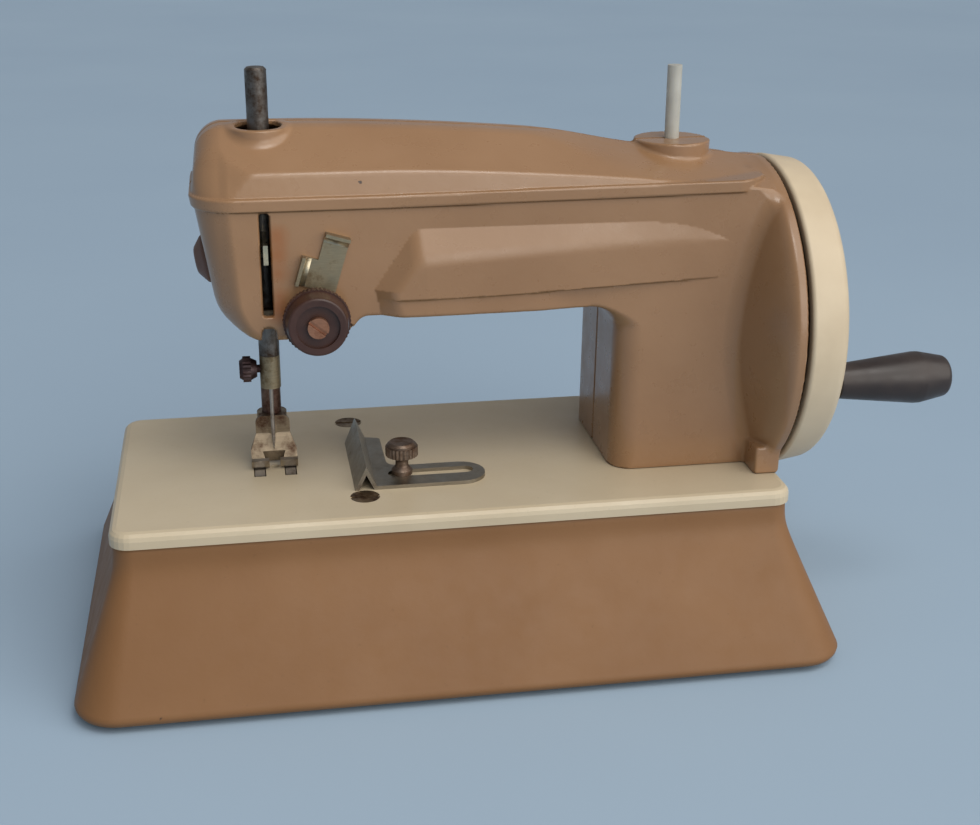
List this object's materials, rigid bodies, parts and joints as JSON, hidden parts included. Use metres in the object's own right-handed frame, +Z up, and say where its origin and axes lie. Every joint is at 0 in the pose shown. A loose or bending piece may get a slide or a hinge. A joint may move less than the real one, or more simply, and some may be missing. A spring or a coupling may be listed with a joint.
{
  "type": "toy sewing machine",
  "caption": "Hand-cranked toy chain-stitch sewing machine: cast arm head with needle bar, presser foot, thread tension and spool pin, handwheel with crank, bed plate on a flared base.",
  "frame": {"origin": "bottom centre of the bounding box, on the floor under the rubber feet", "axes": "+X from the needle end to the handwheel, +Y away from the sewer, +Z up"},
  "size_m": [0.2816, 0.152, 0.1819],
  "materials": {
    "tan_paint": "semi-gloss tan enamel, worn",
    "tan_moulding": "tan moulding, scuffed",
    "cream_paint": "cream enamel",
    "cream_moulding": "cream moulding",
    "dark_moulding": "dark brown moulding",
    "steel": "bare steel, dulled",
    "aged_brass": "dulled brass",
    "nylon": "translucent nylon",
    "rubber": "black rubber"
  },
  "bodies": {
    "machine": {"base_skirt": "tan_moulding", "bottom_cover": "steel", "bottom_screws": "steel", "rubber_feet": "rubber", "bed_plate": "cream_paint", "bed_screws": "aged_brass", "front_casting": "tan_paint", "rear_cover": "tan_paint", "cover_screws": "steel", "head_screws": "steel", "gear_plate": "steel", "wheel_axle": "steel", "axle_screw": "steel", "arm_bush": "aged_brass", "looper_hanger": "steel", "looper_frame": "steel", "feed_guide": "steel", "upper_bar_guide": "aged_brass", "lower_bar_guide": "aged_brass", "presser_spring": "steel", "tension_stud": "aged_brass", "tension_nut": "steel", "tension_discs": "steel", "tension_spring": "steel", "thread_guide": "steel", "end_plug": "dark_moulding", "spool_pin": "nylon", "seam_guide_nut": "steel"},
    "wheel": {"handwheel": "cream_moulding", "wheel_gear": "aged_brass", "handle_stud": "steel"},
    "grip": {"crank_handle": "dark_moulding"},
    "arm_train": {"arm_shaft": "steel", "arm_pinion": "aged_brass", "needle_crank": "steel"},
    "idler": {"idler_shaft": "steel", "idler_pinion": "aged_brass", "idler_gear": "aged_brass"},
    "looper": {"looper_shaft": "steel", "looper_gear": "aged_brass", "looper_hook": "steel", "feed_cam": "steel"},
    "feed": {"feed_dog": "steel"},
    "needle_carriage": {"needle_bar": "steel", "needle_yoke": "steel", "take_up_eyelet": "steel", "needle_clamp": "aged_brass", "needle": "steel"},
    "clamp_screw": {"needle_clamp_screw": "dark_moulding"},
    "presser": {"presser_bar": "steel", "presser_collar": "steel", "presser_foot": "steel"},
    "lifter": {"presser_lifter": "steel"},
    "tension_dial": {"tension_knob": "dark_moulding"},
    "guide": {"seam_guide": "steel"},
    "guide_screw": {"seam_guide_screw": "aged_brass"}
  },
  "joints": [
    {"name": "wheel_spin", "type": "hinge", "parent": "machine", "child": "wheel", "pos_m": [0.09425, 0.003, 0.0968], "axis": [1, 0, 0], "continuous": true},
    {"name": "grip_spin", "type": "hinge", "parent": "wheel", "child": "grip", "pos_m": [0.11925, -0.03596, 0.08339], "axis": [1, 0, 0], "continuous": true},
    {"name": "arm_shaft_spin", "type": "hinge", "parent": "machine", "child": "arm_train", "pos_m": [0.00925, 0.003, 0.1268], "axis": [1, 0, 0], "continuous": true},
    {"name": "idler_spin", "type": "hinge", "parent": "machine", "child": "idler", "pos_m": [0.07225, 0.003, 0.0668], "axis": [1, 0, 0], "continuous": true},
    {"name": "looper_spin", "type": "hinge", "parent": "machine", "child": "looper", "pos_m": [-0.00075, 0.003, 0.0398], "axis": [1, 0, 0], "continuous": true},
    {"name": "feed_slide", "type": "slide", "parent": "machine", "child": "feed", "axis": [0, 1, 0], "range_m": [-0.0015, 0.0015]},
    {"name": "needle_slide", "type": "slide", "parent": "machine", "child": "needle_carriage", "axis": [0, 0, 1], "range_m": [-0.016, 0]},
    {"name": "clamp_screw_turn", "type": "hinge", "parent": "needle_carriage", "child": "clamp_screw", "pos_m": [-0.08275, -0.003, 0.0863], "axis": [1, 0, 0], "range_deg": [0, 360]},
    {"name": "lifter_turn", "type": "hinge", "parent": "machine", "child": "lifter", "pos_m": [-0.07695, 0.03, 0.1146], "axis": [0, -1, 0], "range_deg": [0, 90]},
    {"name": "presser_slide", "type": "slide", "parent": "machine", "child": "presser", "axis": [0, 0, 1], "range_m": [0, 0.005], "deforming": ["presser_spring"]},
    {"name": "tension_turn", "type": "hinge", "parent": "machine", "child": "tension_dial", "pos_m": [-0.06275, -0.032, 0.11], "axis": [0, -1, 0], "range_deg": [-180, 180]},
    {"name": "guide_slide", "type": "slide", "parent": "machine", "child": "guide", "axis": [1, 0, 0], "range_m": [-0.015, 0.002]},
    {"name": "guide_screw_turn", "type": "hinge", "parent": "machine", "child": "guide_screw", "pos_m": [-0.03635, -0.018, 0.06], "axis": [0, 0, 1], "range_deg": [0, 360]}
  ],
  "couplings": [
    {"joint": "arm_shaft_spin", "follows": "wheel_spin", "ratio": -3},
    {"joint": "idler_spin", "follows": "wheel_spin", "ratio": -3},
    {"joint": "looper_spin", "follows": "wheel_spin", "ratio": 3},
    {"joint": "lifter_turn", "follows": "presser_slide", "rad_per_m": 314.16}
  ]
}
